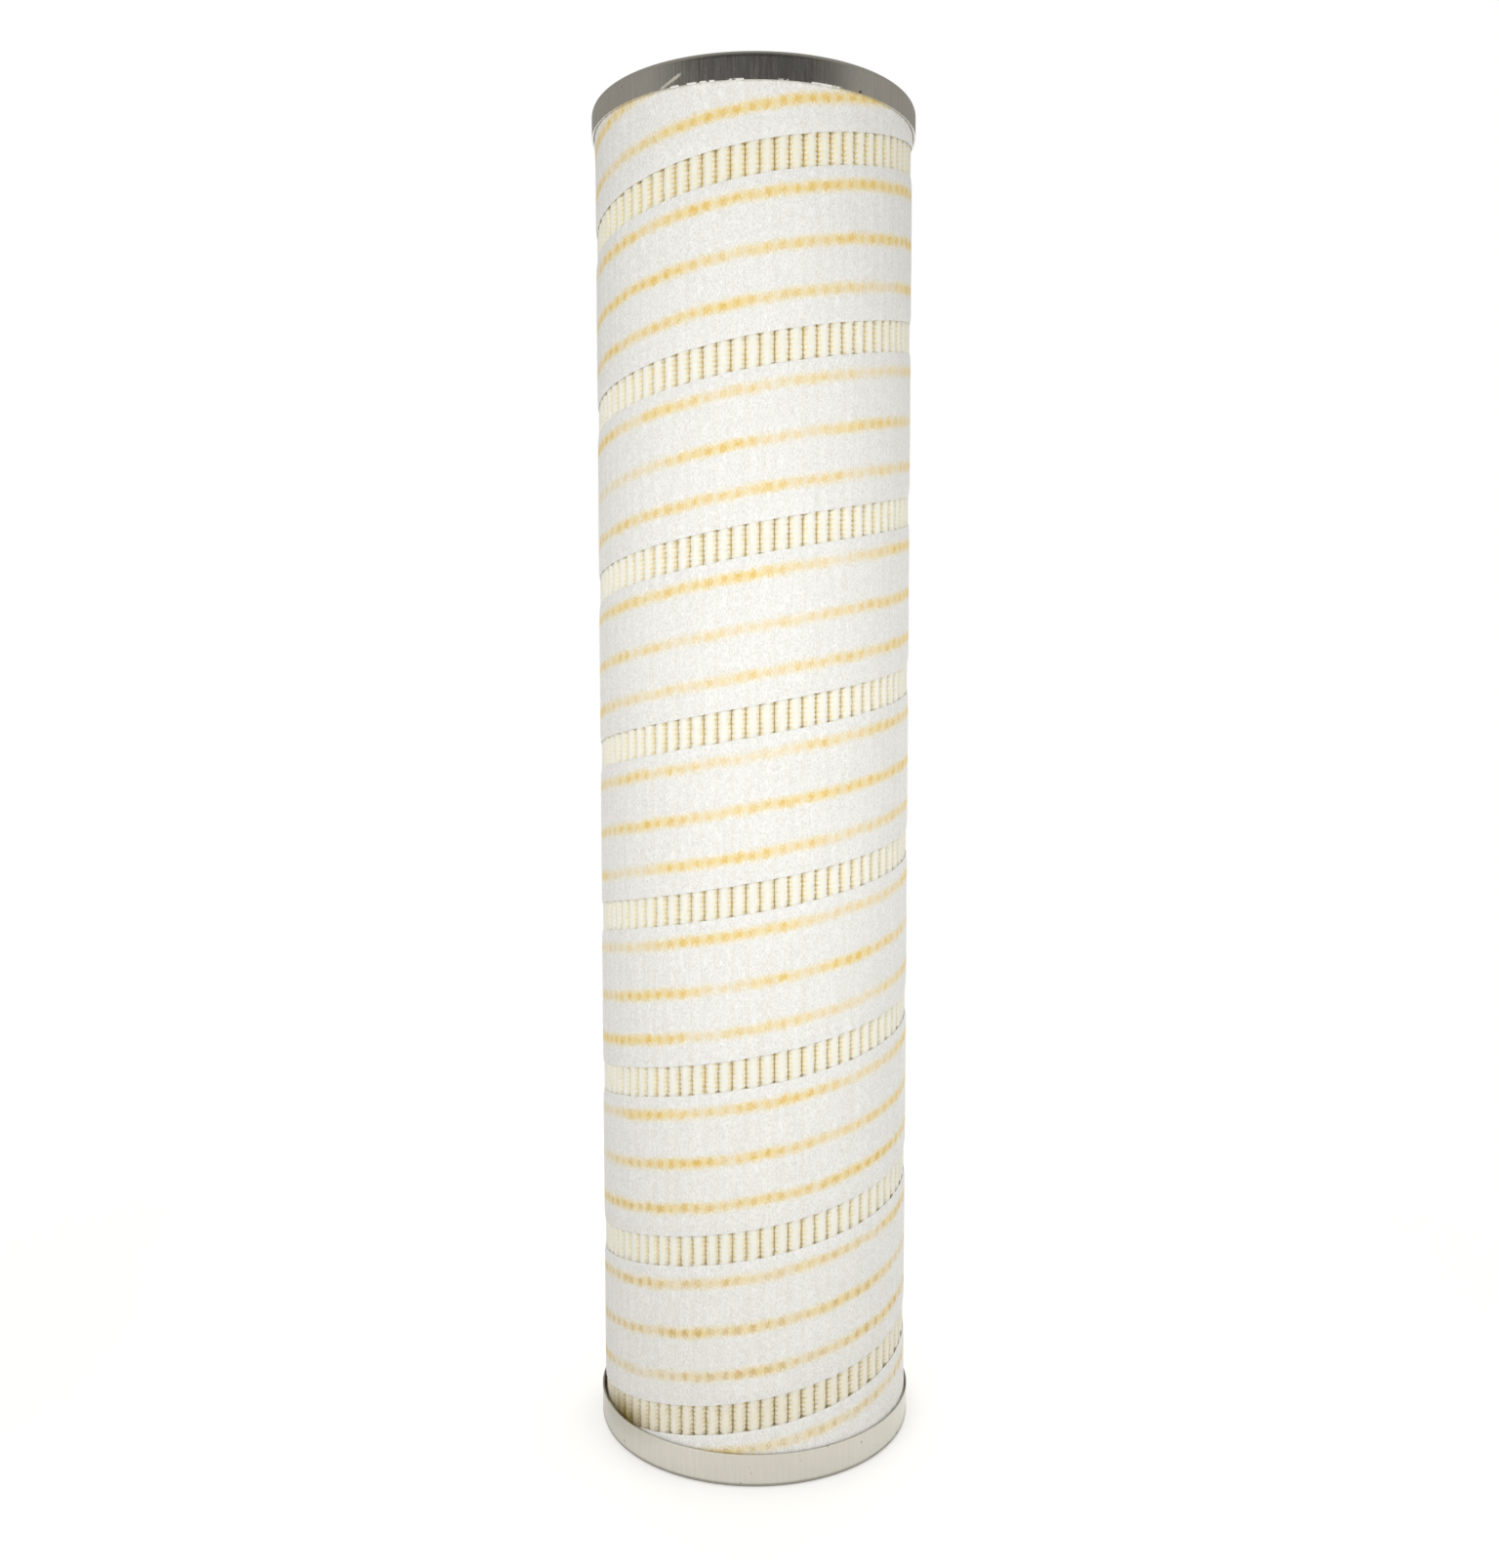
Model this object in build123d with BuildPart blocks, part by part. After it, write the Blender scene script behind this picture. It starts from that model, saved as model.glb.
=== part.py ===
"""Pleated filter element for a hydraulic line: a fan of folded media on a slotted core tube,
wound with a helical strip of fabric and potted into two pressed steel end caps.

Frame: millimetres, +Z up along the element's axis, origin at the middle of its lower end face.
The front is -Y. The strip climbs to the right as seen from outside (a right-handed helix).
"""

import os
from math import ceil, cos, floor, pi, sin

from build123d import *

# Overall
element_length = 321.0
wrap_outer_radius = 38.0

# End caps: shallow pressings of tin-plated sheet, a slide fit over the wrapped pleats
cap_sheet = 0.4
cap_fit_clearance = 0.35
cap_bend_radius = 1.6
cap_bore_radius = 21.0
top_skirt_height = 6.4
bottom_skirt_height = 8.2
land_radius = 30.5
land_depth = 0.7
land_slope = 1.0

# Potting resin in each cap
potting_depth = 3.2

# Bore seals and the rings that hold them
seal_bore_radius = 20.6
seal_height = 3.6
retainer_sheet = 0.6
retainer_bore_radius = 21.4

# Core tube
core_inner_radius = 24.2
core_sheet = 0.7
slots_around = 8
slot_rows = 10
slot_width = 6.0
slot_height = 17.0
slot_end_margin = 20.0

# Folded media
pleat_count = 72
media_thickness = 0.85
crest_share = 0.70
crest_flat_share = 0.5
crest_drop = 0.55
valley_gap = 0.3

# Side seam in the fold at the back, which stops short of the folds on the core
seam_foot_clearance = 2.6
seam_clearance = 0.03

# Outer wrap: one strip wound with a gap between its turns
fabric_thickness = 0.25
wrap_pitch = 40.2
gap_width = 7.0
first_gap_height = 26.9
turn_overlap = 0.02

# Clearances between pieces
seat_clearance = 0.05
bond_clearance = 0.1

# Worked out from the values above
cap_inner_radius = wrap_outer_radius + cap_fit_clearance
cap_outer_radius = cap_inner_radius + cap_sheet
floor_height = cap_sheet + land_depth
potting_radius = cap_inner_radius - seat_clearance
core_outer_radius = core_inner_radius + core_sheet
wrap_inner_radius = wrap_outer_radius - fabric_thickness
crest_radius = wrap_inner_radius - bond_clearance
valley_radius = core_outer_radius + bond_clearance
pack_bottom = floor_height + potting_depth
pack_height = element_length - 2 * pack_bottom
pleat_angle = 2 * pi / pleat_count
shoulder_radius = crest_radius - crest_drop
crest_half_width = crest_share * shoulder_radius * pleat_angle / 2
core_bottom = floor_height + seat_clearance
core_height = element_length - 2 * core_bottom
slot_pitch = (core_height - 2 * slot_end_margin) / slot_rows
seal_bottom = floor_height + seat_clearance
retainer_bottom = seal_bottom + seal_height + seat_clearance

# Each end is drawn in a plane through the axis: X is the radius, Y the depth below its end face
bottom_end = Plane.XZ
top_end = Plane(origin=(0, 0, element_length), x_dir=(1, 0, 0), z_dir=(0, 1, 0))
ends = {
    "bottom": (bottom_end, bottom_skirt_height),
    "top": (top_end, top_skirt_height),
}


def save(piece, name):
    """Label a finished sub-part and write its STEP file."""
    piece.part.label = name
    export_step(piece.part, f"parts/{name}.step")
    print(f"{name}: {piece.part.volume:.0f} mm3")


def ring_section(inner_radius, outer_radius, depth, height):
    """A ring's section between two radii, starting at a depth below the end face."""
    middle_radius = (inner_radius + outer_radius) / 2
    with Locations((middle_radius, depth + height / 2)):
        Rectangle(outer_radius - inner_radius, height)


def in_pleat(angle, radius, offset):
    """The point at a radius along a pleat's own centre line, offset sideways from that line."""
    x = radius * cos(angle) - offset * sin(angle)
    y = radius * sin(angle) + offset * cos(angle)
    return (x, y)


def upstream_fold(angle):
    """The outer face of one pleat: a chamfered crest, then the floor of the next valley."""
    valley = angle + pleat_angle / 2
    crest_flat = crest_half_width * crest_flat_share
    return [
        in_pleat(angle, shoulder_radius, -crest_half_width),
        in_pleat(angle, crest_radius, -crest_flat),
        in_pleat(angle, crest_radius, crest_flat),
        in_pleat(angle, shoulder_radius, crest_half_width),
        in_pleat(valley, valley_radius + media_thickness, -valley_gap / 2),
        in_pleat(valley, valley_radius + media_thickness, valley_gap / 2),
    ]


def downstream_fold(angle):
    """The inner face of the same pleat, one media thickness inside the outer face."""
    valley = angle + pleat_angle / 2
    inside_crest = crest_half_width - media_thickness
    outside_valley = valley_gap / 2 + media_thickness
    return [
        in_pleat(angle, crest_radius - media_thickness, -inside_crest),
        in_pleat(angle, crest_radius - media_thickness, inside_crest),
        in_pleat(valley, valley_radius, -outside_valley),
        in_pleat(valley, valley_radius, outside_valley),
    ]


os.makedirs("parts", exist_ok=True)

for end, (end_plane, skirt_height) in ends.items():
    # End cap: one revolved section with a rolled outer edge and a land sunk around the bore
    with BuildPart() as end_cap:
        with BuildSketch(end_plane):
            with BuildLine():
                Polyline(
                    (cap_bore_radius, land_depth),
                    (land_radius - land_slope, land_depth),
                    (land_radius, 0),
                    (cap_outer_radius - cap_bend_radius, 0),
                )
                bend_centre = (cap_outer_radius - cap_bend_radius, cap_bend_radius)
                CenterArc(bend_centre, cap_bend_radius, start_angle=-90, arc_size=90)
                Polyline(
                    (cap_outer_radius, cap_bend_radius),
                    (cap_outer_radius, skirt_height),
                    (cap_inner_radius, skirt_height),
                    (cap_inner_radius, cap_bend_radius),
                    (cap_outer_radius - cap_bend_radius, cap_sheet),
                    (land_radius, cap_sheet),
                    (land_radius - land_slope, floor_height),
                    (cap_bore_radius, floor_height),
                    (cap_bore_radius, land_depth),
                )
            make_face()
        revolve(axis=Axis.Z)
    save(end_cap, f"{end}_end_cap")

    # Potting: the ring of cured resin between the core tube and the skirt, on the cap's floor
    with BuildPart() as potting:
        with BuildSketch(end_plane):
            with BuildLine():
                Polyline(
                    (core_outer_radius + seat_clearance, floor_height + seat_clearance),
                    (land_radius - land_slope, floor_height + seat_clearance),
                    (land_radius, cap_sheet + seat_clearance),
                    (potting_radius - cap_bend_radius, cap_sheet + seat_clearance),
                    (potting_radius, cap_bend_radius + seat_clearance),
                    (potting_radius, pack_bottom - seat_clearance),
                    (core_outer_radius + seat_clearance, pack_bottom - seat_clearance),
                    close=True,
                )
            make_face()
        revolve(axis=Axis.Z)
    save(potting, f"{end}_potting")

    # Bore seal: a square-cut rubber ring that stands a little proud of the cap's bore
    with BuildPart() as seal:
        with BuildSketch(end_plane):
            ring_section(
                seal_bore_radius,
                core_inner_radius - seat_clearance,
                seal_bottom,
                seal_height,
            )
        revolve(axis=Axis.Z)
    save(seal, f"{end}_bore_seal")

    # Seal retainer: the flat ring inside the core tube that keeps the seal against the cap
    with BuildPart() as retainer:
        with BuildSketch(end_plane):
            ring_section(
                retainer_bore_radius,
                core_inner_radius - seat_clearance,
                retainer_bottom,
                retainer_sheet,
            )
        revolve(axis=Axis.Z)
    save(retainer, f"{end}_seal_retainer")

# Core tube: rolled sheet with staggered rows of slots
with BuildPart() as core_tube:
    with BuildSketch(Plane.XY.offset(core_bottom)):
        Circle(core_outer_radius)
        Circle(core_inner_radius, mode=Mode.SUBTRACT)
    extrude(amount=core_height)
    for row in range(slot_rows):
        row_height = core_bottom + slot_end_margin + (row + 0.5) * slot_pitch
        stagger = (row % 2) * 180 / slots_around
        with Locations((0, 0, row_height)):
            # One bar through the axis cuts two opposite slots
            with PolarLocations(0, slots_around // 2, stagger, 180):
                Box(3 * core_outer_radius, slot_width, slot_height, mode=Mode.SUBTRACT)
save(core_tube, "core_tube")

# Pleated pack: the media sheet folded into straight radial pleats, as one closed ring
pleat_angles = [index * pleat_angle for index in range(pleat_count)]
with BuildPart() as pleat_pack:
    with BuildSketch(Plane.XY.offset(pack_bottom)):
        with BuildLine():
            Polyline(*[p for a in pleat_angles for p in upstream_fold(a)], close=True)
        make_face()
        with BuildLine():
            Polyline(*[p for a in pleat_angles for p in downstream_fold(a)], close=True)
        make_face(mode=Mode.SUBTRACT)
    extrude(amount=pack_height)
save(pleat_pack, "pleat_pack")

# Side seam: the strip of adhesive inside the rearmost fold, where the sheet's two ends meet
seam_angle = pleat_angles[pleat_count // 4]
seam_outer_radius = crest_radius - media_thickness - seam_clearance
seam_inner_radius = valley_radius + seam_foot_clearance
pocket_outer = crest_half_width - media_thickness
pocket_inner = valley_radius * pleat_angle / 2 - valley_gap / 2 - media_thickness
pocket_taper = (pocket_outer - pocket_inner) / (crest_radius - media_thickness - valley_radius)
seam_outer_half = pocket_outer - seam_clearance - pocket_taper * seam_clearance
seam_inner_half = seam_outer_half - pocket_taper * (seam_outer_radius - seam_inner_radius)
with BuildPart() as side_seam:
    with BuildSketch(Plane.XY.offset(pack_bottom)):
        with BuildLine():
            Polyline(
                in_pleat(seam_angle, seam_outer_radius, -seam_outer_half),
                in_pleat(seam_angle, seam_outer_radius, seam_outer_half),
                in_pleat(seam_angle, seam_inner_radius, seam_inner_half),
                in_pleat(seam_angle, seam_inner_radius, -seam_inner_half),
                close=True,
            )
        make_face()
    extrude(amount=pack_height)
save(side_seam, "side_seam")

# Outer wrap: a thin tube, less the helical gap, which is cut one turn at a time
lowest_turn = floor((pack_bottom - first_gap_height - gap_width) / wrap_pitch) - 1
highest_turn = ceil((pack_bottom + pack_height - first_gap_height + gap_width) / wrap_pitch)
with BuildPart() as outer_wrap:
    with BuildSketch(Plane.XY.offset(pack_bottom)):
        Circle(wrap_outer_radius)
        Circle(wrap_inner_radius, mode=Mode.SUBTRACT)
    extrude(amount=pack_height)
    for turn in range(lowest_turn, highest_turn + 1):
        with BuildLine(Plane.XY.offset(first_gap_height + turn * wrap_pitch)):
            gap_path = Helix(
                pitch=wrap_pitch,
                height=wrap_pitch * (1 + turn_overlap),
                radius=(wrap_outer_radius + wrap_inner_radius) / 2,
            )
        with BuildSketch(Plane(origin=gap_path @ 0, x_dir=(1, 0, 0), z_dir=(0, 1, 0))):
            Rectangle(3 * fabric_thickness, gap_width)
        sweep(path=gap_path, is_frenet=True, mode=Mode.SUBTRACT)
save(outer_wrap, "outer_wrap")
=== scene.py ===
# %% [markdown]
# # A pleated filter element
#
# The element is a fan of folded media on a slotted core tube. One long strip of white spun fabric
# is wound round the pleats as a helix, with a gap between its turns, and each end is potted into
# a shallow cap of tin-plated steel.
#
# The CAD model holds the caps, seals, core tube and resin at their real size, and they stay where
# they are. This script gives them finishes, and replaces two soft solids, the wrap and the
# pleated pack, with meshes that have ribs, mesh imprints and glue lines. All lengths are in
# metres.

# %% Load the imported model
import math

import bmesh
import bpy
import numpy as np
from mathutils import Matrix, Vector


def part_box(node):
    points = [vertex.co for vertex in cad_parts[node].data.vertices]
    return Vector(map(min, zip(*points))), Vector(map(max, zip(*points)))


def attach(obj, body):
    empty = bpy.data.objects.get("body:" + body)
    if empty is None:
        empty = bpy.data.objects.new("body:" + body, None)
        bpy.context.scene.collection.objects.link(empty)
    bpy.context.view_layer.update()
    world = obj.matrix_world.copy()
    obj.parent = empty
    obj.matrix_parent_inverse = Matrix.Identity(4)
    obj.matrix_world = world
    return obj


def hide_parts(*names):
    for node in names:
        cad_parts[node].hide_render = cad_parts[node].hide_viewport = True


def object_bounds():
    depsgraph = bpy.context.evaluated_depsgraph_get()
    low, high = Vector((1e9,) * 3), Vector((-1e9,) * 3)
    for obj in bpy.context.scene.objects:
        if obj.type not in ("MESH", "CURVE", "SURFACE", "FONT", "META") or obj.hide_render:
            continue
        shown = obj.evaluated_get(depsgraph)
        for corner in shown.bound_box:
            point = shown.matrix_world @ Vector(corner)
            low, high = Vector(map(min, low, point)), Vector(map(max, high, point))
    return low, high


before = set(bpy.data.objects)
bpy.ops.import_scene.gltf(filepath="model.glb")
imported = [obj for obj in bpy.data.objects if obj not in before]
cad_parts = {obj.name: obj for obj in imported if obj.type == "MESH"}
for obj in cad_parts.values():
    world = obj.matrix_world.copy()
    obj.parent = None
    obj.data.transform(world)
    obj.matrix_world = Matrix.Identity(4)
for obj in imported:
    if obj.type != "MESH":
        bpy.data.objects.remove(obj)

cad_low, cad_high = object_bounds()
print("CAD box:", tuple(round(x, 4) for x in cad_low), tuple(round(x, 4) for x in cad_high))

# %% [markdown]
# ## Sizes
#
# Radii and heights are read from the CAD nodes, so that everything here fits them. What a box
# can't tell, such as the pitch of the winding, is a named value. Angles run from +X,
# counter-clockwise seen from above, so the front of the element is at -90 degrees.

# %% Read the sizes of the element
MM = 0.001
TURN = 2 * math.pi
FRONT = -math.pi / 2

wrap_low, wrap_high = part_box("outer_wrap")
pack_low, pack_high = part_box("pleat_pack")
cap_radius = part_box("top_end_cap")[1].x

wrap_radius = wrap_high.x
wrap_bottom, wrap_top = wrap_low.z, wrap_high.z
crest_radius = pack_high.x
element_height = cad_high.z

pleat_count = 72
pleat_angle = TURN / pleat_count
winding_pitch = 40.2 * MM
gap_width = 7.0 * MM
first_gap_height = 26.9 * MM
fabric_thickness = 0.25 * MM
glue_depths = (4.3 * MM, 15.9 * MM, 26.4 * MM)
glue_width = 2.9 * MM

print("wrap:", round(wrap_radius, 4), "m in radius,", round(wrap_top - wrap_bottom, 4), "m high")

# %% Helper for new objects
def new_object(name, data):
    """An object that shows a mesh, lamp or camera, linked to the scene."""
    made = bpy.data.objects.new(name, data)
    bpy.context.scene.collection.objects.link(made)
    return made

# %% [markdown]
# ## Camera
#
# A long thin thing on a table is best seen from its middle height, close by, with the camera
# tipped down by a few degrees. The verticals then lean in a little towards the bottom.

# %% Place the camera
camera_place = Vector((0.0021, -0.3583, 0.1875))
camera_tip = math.radians(-4.348)
camera_turn = math.radians(0.519)
camera_roll = math.radians(-0.055)
focal_length = 33.12
sensor_width = 36.0

camera_data = bpy.data.cameras.new("camera")
camera_data.lens = focal_length
camera_data.sensor_width = sensor_width
camera_data.clip_start = 0.01
camera_data.clip_end = 50
camera = new_object("camera", camera_data)
camera.matrix_world = (
    Matrix.Translation(camera_place)
    @ Matrix.Rotation(camera_turn, 4, "Z")
    @ Matrix.Rotation(math.pi / 2 + camera_tip, 4, "X")
    @ Matrix.Rotation(camera_roll, 4, "Z")
)
bpy.context.scene.camera = camera
print("camera at", tuple(camera_place))

# %% [markdown]
# ## Floor, backdrop and lamps
#
# The element stands on white paper. A studio could be built around it from walls and reflectors,
# but a world that answers each kind of ray in its own way is quicker and never gets in the way.
# The lens sees a white world, and metal reflects white near the horizon, a dim room above, and a
# dark drape above the camera, which is what gives the upper cap its dark rim. Four soft boxes
# stand close to the fabric, at the middle of its height, so the light falls off towards both
# ends. The stronger one is at the front left. The two in front also put a faint sheen on the
# fabric, and they hang too low to show in the skirt of the upper cap.

# %% Helpers for shader nodes
def new_material(name):
    """An empty node material: returns it with its node tree and its Principled shader."""
    material = bpy.data.materials.new(name)
    material.use_nodes = True
    tree = material.node_tree
    shader = next(n for n in tree.nodes if n.type == "BSDF_PRINCIPLED")
    return material, tree, shader


def fill(tree, node, inputs):
    """Feed a node's inputs, named or numbered, from other nodes' outputs or from constants."""
    for label, value in inputs.items():
        if isinstance(value, bpy.types.NodeSocket):
            tree.links.new(value, node.inputs[label])
        else:
            node.inputs[label].default_value = value


def new_node(tree, kind, inputs=None, **settings):
    """A shader node of one kind, with its settings made and its inputs filled."""
    node = tree.nodes.new("ShaderNode" + kind)
    for setting, value in settings.items():
        setattr(node, setting, value)
    fill(tree, node, inputs or {})
    return node


def math_node(tree, operation, first, second=0.0):
    """One Math node, and its result."""
    return new_node(tree, "Math", {0: first, 1: second}, operation=operation).outputs[0]


def times(tree, first, second):
    """The product of two values."""
    return math_node(tree, "MULTIPLY", first, second)


def map_range(tree, value, low, high, to_low=0.0, to_high=1.0):
    """Carry a value from one range to another, clamped, with a soft start and end."""
    inputs = {"Value": value, "From Min": low, "From Max": high, "To Min": to_low}
    inputs["To Max"] = to_high
    node = new_node(tree, "MapRange", inputs, interpolation_type="SMOOTHSTEP")
    return node.outputs["Result"]


def mix_colour(tree, share, first, second):
    """Mix two colours."""
    inputs = {"Factor": share, "A": first, "B": second}
    return new_node(tree, "Mix", inputs, data_type="RGBA").outputs["Result"]


def split_axes(tree, vector):
    """A vector's X, Y and Z, each on its own."""
    return new_node(tree, "SeparateXYZ", {0: vector}).outputs


def object_place(tree):
    """Where a point lies on the element, in metres."""
    return new_node(tree, "TexCoord").outputs["Object"]


def ray_kinds(tree):
    """Two masks: the lens sees this point, and metal or glass shows it."""
    paths = new_node(tree, "LightPath").outputs
    mirrored = math_node(tree, "MAXIMUM", paths["Is Glossy Ray"], paths["Is Transmission Ray"])
    return paths["Is Camera Ray"], mirrored


def colour(red, green, blue):
    """A colour as a screen shows it, from 0 to 255, in the linear values that nodes use."""
    shares = (red / 255, green / 255, blue / 255)
    linear = [s / 12.92 if s <= 0.04045 else ((s + 0.055) / 1.055) ** 2.4 for s in shares]
    return (*linear, 1.0)

# %% Make the world
ambient_light = (0.61, 0.61, 0.61, 1)
white = (1, 1, 1, 1)
dim_room = (0.31, 0.30, 0.28, 1)
dark_drape = (0.045, 0.043, 0.042, 1)
drape_bearing = FRONT + math.radians(2)
drape_rise = math.radians(20)
drape_reach = math.radians(75)
drape_core = math.radians(28)

world = bpy.data.worlds.new("studio")
bpy.context.scene.world = world
world.use_nodes = True
tree = world.node_tree
background = next(n for n in tree.nodes if n.type == "BACKGROUND")
by_lens, in_metal = ray_kinds(tree)
direction = new_node(tree, "TexCoord").outputs["Generated"]
above = map_range(tree, split_axes(tree, direction)["Z"], 0.06, 0.20)
to_drape = (
    math.cos(drape_bearing) * math.cos(drape_rise),
    math.sin(drape_bearing) * math.cos(drape_rise),
    math.sin(drape_rise),
)
near_drape = new_node(tree, "VectorMath", {0: direction, 1: to_drape}, operation="DOT_PRODUCT")
in_drape = map_range(
    tree, near_drape.outputs["Value"], math.cos(drape_reach), math.cos(drape_core)
)
room = mix_colour(tree, in_drape, dim_room, dark_drape)
room = mix_colour(tree, above, white, room)
light = mix_colour(tree, in_metal, ambient_light, room)
seen = mix_colour(tree, by_lens, light, white)
fill(tree, background, {"Color": seen, "Strength": 1.0})
print("world:", len(tree.nodes), "nodes")

# %% Lay the paper floor
paper_tones = (colour(214, 212, 207), colour(221, 219, 214))
floor_reach = 3.0
floor_mesh = bpy.data.meshes.new("floor")
floor_mesh.from_pydata(
    [(x, y, 0) for x, y in ((-1, -1), (1, -1), (1, 1), (-1, 1))], [], [(0, 1, 2, 3)]
)
floor_mesh.transform(Matrix.Scale(floor_reach, 4))
floor = new_object("floor", floor_mesh)

paper, tree, shader = new_material("paper")
place = object_place(tree)
fibres = new_node(tree, "TexNoise", {"Vector": place, "Scale": 900})
tone = mix_colour(tree, fibres.outputs["Fac"], *paper_tones)
fill(tree, shader, {"Base Color": tone, "Roughness": 0.9, "Specular IOR Level": 0.0})

# Seen by the lens or in the metal, the paper is lifted to the white of the backdrop, less its
# shadow. In the metal the lift is held back close to the foot of the element and on its left,
# a painted shade that darkens the lower cap's reflection there.
lift_level = 0.44
distance = new_node(tree, "VectorMath", {0: place}, operation="LENGTH").outputs["Value"]
far_off = map_range(tree, distance, 0.10, 0.30)
near_foot = map_range(tree, distance, cap_radius, cap_radius + 2.0 * MM)
left_side = map_range(tree, split_axes(tree, place)["X"], -0.030, -0.055)
shaded_side = math_node(tree, "SUBTRACT", 1.0, times(tree, left_side, 0.9))
by_lens, in_metal = ray_kinds(tree)
# In the metal the lift is none at the foot and less on the left: painted shade
metal_level = times(tree, near_foot, shaded_side)
lifted = math_node(tree, "MAXIMUM", by_lens, metal_level)
lift = new_node(tree, "Emission", {"Strength": times(tree, lifted, lift_level)})
add = new_node(tree, "AddShader", {0: shader.outputs[0], 1: lift.outputs[0]})
plain = new_node(tree, "Emission")
fade = new_node(tree, "MixShader", {0: far_off, 1: add.outputs[0], 2: plain.outputs[0]})
looked_at = math_node(tree, "MAXIMUM", by_lens, in_metal)
choose = new_node(tree, "MixShader", {0: looked_at, 1: shader.outputs[0], 2: fade.outputs[0]})
output = next(n for n in tree.nodes if n.type == "OUTPUT_MATERIAL")
fill(tree, output, {"Surface": choose.outputs[0]})
floor_mesh.materials.append(paper)
print("floor:", 2 * floor_reach, "m wide,", len(tree.nodes), "nodes in its paper")

# %% Hang the soft boxes
soft_box_size = 0.22


def soft_box(name, azimuth, height, reach, power, shines=False):
    """A square lamp at a bearing from the front, aimed level at the element's axis."""
    data = bpy.data.lights.new(name, "AREA")
    data.shape = "RECTANGLE"
    data.size = data.size_y = soft_box_size
    data.energy = power
    lamp = new_object(name, data)
    bearing = FRONT + math.radians(azimuth)
    lamp.location = (reach * math.cos(bearing), reach * math.sin(bearing), height)
    aim = Vector((0, 0, height)) - lamp.location
    lamp.rotation_euler = aim.to_track_quat("-Z", "Y").to_euler()
    lamp.visible_camera = False
    lamp.visible_glossy = shines


soft_box("front_left_soft_box", -21, 0.208, 0.278, 0.335, shines=True)
soft_box("front_right_soft_box", 53, 0.178, 0.240, 0.155, shines=True)
soft_box("back_left_soft_box", -155, 0.195, 0.30, 0.26)
soft_box("back_right_soft_box", 155, 0.195, 0.30, 0.26)

scene = bpy.context.scene
scene.view_settings.view_transform = "Standard"

# %% [markdown]
# ## The winding
#
# Everything on the outside follows one helix. A few small functions say where it is, so that the
# strip, its glue lines and the rows of the pleats' mesh all agree. A winding made on a machine is
# never quite even: its turns sit a little high or low, and all of them lean the same way by half
# a millimetre.

# %% Describe the winding
def slow_wave(x, seed, octaves=3):
    """A smooth random curve between about -1 and 1, the same at every run."""
    draw = np.random.default_rng(seed)
    total = np.zeros_like(np.asarray(x, float))
    for step in range(octaves):
        rate = 2.0**step
        total += np.sin(rate * np.asarray(x) * TURN + draw.uniform(0, TURN)) / rate
    return total / 1.75


turn_drift = np.array([0.2, 0.5, 0.4, 0.0, -0.6, -0.65, -0.3, 0.4, 0.9]) * MM
lean = 0.55 * MM


def lay(height, angle):
    """Where the winding really lies, for a height on the even helix."""
    turn = (height - first_gap_height) / winding_pitch + 0.25
    drift = np.interp(turn, np.arange(len(turn_drift)), turn_drift)
    return height + drift + lean * np.cos(angle)


def gap_height(turns):
    """Height of the middle of the gap, where turns counts windings from the +X side upwards."""
    turns = np.asarray(turns)
    return lay(first_gap_height + winding_pitch * turns, TURN * turns)


def strip_edges(turns):
    """Heights of the strip's lower and upper edges over the same count of windings."""
    even = first_gap_height + winding_pitch * turns
    lower = lay(even + gap_width / 2, TURN * turns)
    upper = lay(even + winding_pitch - gap_width / 2, TURN * turns)
    return lower, upper


crest_sway = 0.12 * MM
sway_draw = np.random.default_rng(7)
crest_shift = sway_draw.uniform(-crest_sway, crest_sway, pleat_count) / crest_radius
crest_angles = np.arange(pleat_count) * pleat_angle + crest_shift


def pleat_phase(angle):
    """0 on every crest and 0.5 over every valley, allowing for pleats that lean."""
    known = np.concatenate([crest_angles - TURN, crest_angles, crest_angles + TURN])
    counts = np.arange(-pleat_count, 2 * pleat_count)
    return np.interp(np.mod(angle, TURN), known, counts) % 1.0


print("gap at the front at", [round(float(gap_height(n - 0.25)) / MM, 1) for n in range(8)], "mm")

# %% [markdown]
# ## The wrap
#
# The wrap is one strip of spun-bonded polyester. It is modelled flat in its own terms: a column
# of points for every few degrees of winding, and rows across its width. It dips a little between
# the crests that it spans, it is pressed in along its three lines of glue, and it swells where
# the skirt of a cap pinches it. The inside needs no detail, so it is three rows of long faces,
# and both cut edges are laid down on the crests.

# %% Build a mesh piece from points and faces
def mesh_piece(name, points, faces, material):
    """A smooth object from a list of points and a list of faces, with one material."""
    mesh = bpy.data.meshes.new(name)
    mesh.from_pydata(np.asarray(points).tolist(), [], faces)
    mesh.validate()
    mesh.shade_smooth()
    mesh.materials.append(material)
    return new_object(name, mesh)


def on_cylinder(radius, angle, height):
    """Points from cylindrical places."""
    return np.stack([radius * np.cos(angle), radius * np.sin(angle), height + 0 * angle], -1)

# %% Lay out the strip
columns_per_pleat = 5
rows_across = 22
tip = 0.004
strip_width = winding_pitch - gap_width
first_turn = (wrap_bottom + gap_width / 2 - first_gap_height) / winding_pitch - 1 + tip
last_turn = (wrap_top - gap_width / 2 - first_gap_height) / winding_pitch - tip
column_count = round((last_turn - first_turn) * pleat_count * columns_per_pleat)
turns = np.linspace(first_turn, last_turn, column_count + 1)
strip_angle = turns * TURN

lower_true, upper_true = strip_edges(turns)
fray = 0.06 * MM
least_width = 0.1 * MM
upper_cut = upper_true + fray * slow_wave(turns * 29, 4)
upper_cut = np.clip(upper_cut, wrap_bottom + least_width, wrap_top)
lower_cut = np.maximum(lower_true + fray * slow_wave(turns * 31, 3), wrap_bottom)
lower_cut = np.minimum(lower_cut, upper_cut - least_width)
print("strip:", column_count + 1, "columns over", round(last_turn - first_turn, 2), "turns")

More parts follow.
